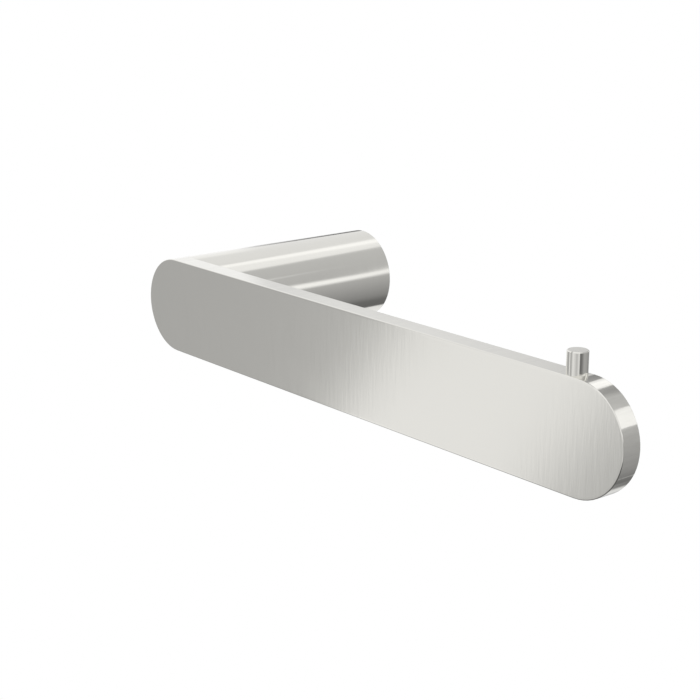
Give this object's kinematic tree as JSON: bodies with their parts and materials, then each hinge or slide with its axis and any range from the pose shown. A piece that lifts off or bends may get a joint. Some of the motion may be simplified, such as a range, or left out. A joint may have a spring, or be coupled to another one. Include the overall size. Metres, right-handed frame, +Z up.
{
  "type": "toilet paper holder",
  "caption": "Open toilet paper holder: a flat round-ended bar on a round wall post, with a small upright retaining pin near the bar's free end, in brushed metal.",
  "frame": {"origin": "on the post's axis, in the plane of the wall, which the bracket's back face and the post's rear end touch", "axes": "+X along the bar towards its free end, +Y into the wall, +Z up"},
  "size_m": [0.17, 0.065, 0.03],
  "materials": {
    "bar_finish": "brushed, grain across the bar",
    "post_finish": "brushed, grain round the post",
    "pin_finish": "fine turned satin",
    "turned_steel": "turned, plain",
    "bracket_zinc": "turned and faced, matte",
    "fastener_steel": "plain bright screw steel",
    "washer_steel": "plain spring steel"
  },
  "bodies": {
    "wall_side": {"wall_bracket": "bracket_zinc"},
    "holder": {"post_tube": "post_finish", "front_bar": "bar_finish", "post_plug": "turned_steel", "end_pin": "pin_finish", "bar_screw_left": "fastener_steel", "bar_screw_right": "fastener_steel", "lock_washer_left": "washer_steel", "lock_washer_right": "washer_steel"},
    "clamp_screw": {"set_screw": "fastener_steel"}
  },
  "joints": [
    {"name": "holder_off", "type": "slide", "parent": "wall_side", "child": "holder", "axis": [0, -1, 0], "range_m": [0, 0.014]},
    {"name": "set_screw_out", "type": "slide", "parent": "holder", "child": "clamp_screw", "axis": [0, 0, -1], "range_m": [0, 0.002]}
  ]
}
